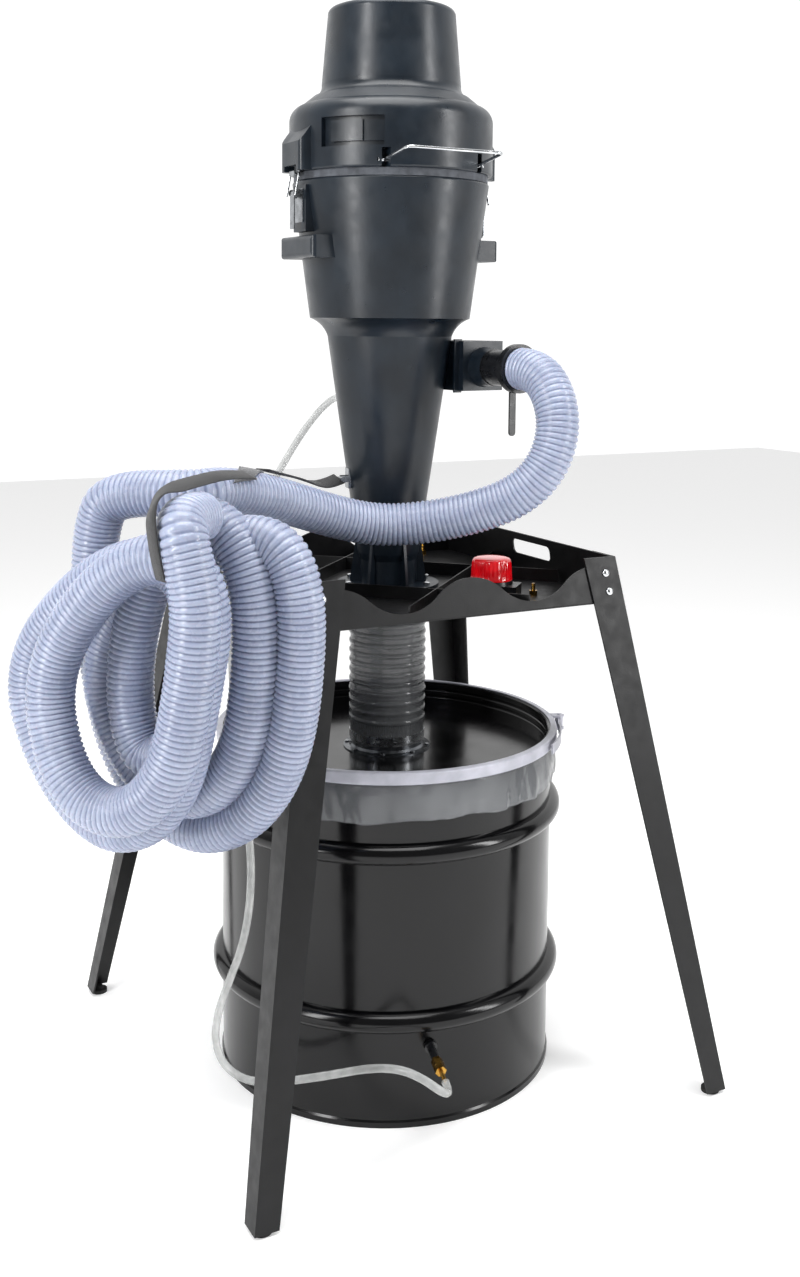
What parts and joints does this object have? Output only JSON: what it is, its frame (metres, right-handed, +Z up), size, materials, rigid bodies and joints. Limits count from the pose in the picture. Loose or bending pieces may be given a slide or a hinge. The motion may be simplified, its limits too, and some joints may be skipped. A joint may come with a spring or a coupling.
{
  "type": "cyclone dust separator",
  "caption": "Portable cyclone dust separator: a cone with a motor and filter head on a four-legged steel stand over a lidded drum, with a coiled ribbed suction hose.",
  "frame": {"origin": "on the floor under the cyclone's axis, midway between the feet", "axes": "+Z is up. The stand's front rail, with the wire handle above it, faces -Y. The hose hangs on the -X side, and the inlet is on the +X half of the front."},
  "size_m": [1.1681, 0.9285, 1.797],
  "materials": {
    "drum_enamel": "gloss",
    "ring_paint": "satin",
    "bag_film": "translucent film",
    "lid_collar_steel": "gloss",
    "clear_duct": "translucent",
    "zinc_band": "bright zinc",
    "stand_paint": "fine powder coat",
    "foot_rubber": "matt",
    "moulded_black": "satin moulded",
    "cuff_black": "satin",
    "gasket_rubber": "matt",
    "chrome_wire": "polished",
    "latch_steel": "bright zinc",
    "beacon_black": "satin",
    "beacon_red": "clear ribbed",
    "brass_fitting": "machined",
    "stem_black": "satin",
    "strap_webbing": "woven webbing",
    "hose_vinyl": "glossy ribbed",
    "clear_tube": "clear"
  },
  "bodies": {
    "stand_and_drum": {"drum_shell": "drum_enamel", "drum_lid": "drum_enamel", "lock_ring": "ring_paint", "bag_liner": "bag_film", "lid_collar": "lid_collar_steel", "lower_clamp": "zinc_band", "drop_hose": "clear_duct", "upper_clamp": "zinc_band", "outlet_collar": "lid_collar_steel", "feet": "foot_rubber", "leg_front_left": "stand_paint", "leg_front_right": "stand_paint", "leg_back_right": "stand_paint", "leg_back_left": "stand_paint", "rail_front": "stand_paint", "rail_right": "stand_paint", "rail_back": "stand_paint", "rail_left": "stand_paint", "tray_plate": "stand_paint", "tray_ribs": "stand_paint", "beacon_box": "beacon_black", "beacon_base": "beacon_black", "beacon_lens": "beacon_red", "tray_barbs": "brass_fitting", "drum_stem": "stem_black", "drum_barb": "brass_fitting", "cyclone_cone": "moulded_black", "inlet_box": "moulded_black", "hose_cuff": "cuff_black", "cuff_tongue": "cuff_black", "cone_barb": "brass_fitting", "strap_clip": "latch_steel", "hose_strap": "strap_webbing", "filter_barrel": "moulded_black", "head_gasket": "gasket_rubber", "motor_head": "moulded_black", "latch_base_left": "latch_steel", "latch_base_right": "latch_steel", "latch_keeper_left": "latch_steel", "latch_keeper_right": "latch_steel", "suction_hose": "hose_vinyl", "hose_coil": "hose_vinyl", "vacuum_tube": "clear_tube"},
    "ring_lever": {"ring_lever": "ring_paint"},
    "head_bail": {"head_bail": "chrome_wire"},
    "latch_lever_left": {"latch_lever_left": "latch_steel"},
    "latch_lever_right": {"latch_lever_right": "latch_steel"},
    "latch_wire_left": {"latch_wire_left": "chrome_wire"},
    "latch_wire_right": {"latch_wire_right": "chrome_wire"}
  },
  "joints": [
    {"name": "ring_lever_hinge", "type": "hinge", "parent": "stand_and_drum", "child": "ring_lever", "pos_m": [0.29121, -0.10599, 0.574], "axis": [0, 0, 1], "range_deg": [0, 150]},
    {"name": "bail_hinge", "type": "hinge", "parent": "stand_and_drum", "child": "head_bail", "pos_m": [0, -0.13959, 1.533], "axis": [-1, 0, 0], "range_deg": [-70, 30]},
    {"name": "latch_lever_left_hinge", "type": "hinge", "parent": "stand_and_drum", "child": "latch_lever_left", "pos_m": [-0.1775, 0, 1.487], "axis": [0, 1, 0], "range_deg": [0, 110]},
    {"name": "latch_lever_right_hinge", "type": "hinge", "parent": "stand_and_drum", "child": "latch_lever_right", "pos_m": [0.1775, 0, 1.487], "axis": [0, -1, 0], "range_deg": [0, 110]},
    {"name": "latch_wire_left_hinge", "type": "hinge", "parent": "stand_and_drum", "child": "latch_wire_left", "pos_m": [-0.1765, 0, 1.519], "axis": [0, 1, 0], "range_deg": [0, 22]},
    {"name": "latch_wire_right_hinge", "type": "hinge", "parent": "stand_and_drum", "child": "latch_wire_right", "pos_m": [0.1765, 0, 1.519], "axis": [0, -1, 0], "range_deg": [0, 22]}
  ],
  "couplings": [
    {"joint": "latch_wire_left_hinge", "follows": "latch_lever_left_hinge", "ratio": 0.2},
    {"joint": "latch_wire_right_hinge", "follows": "latch_lever_right_hinge", "ratio": 0.2}
  ]
}
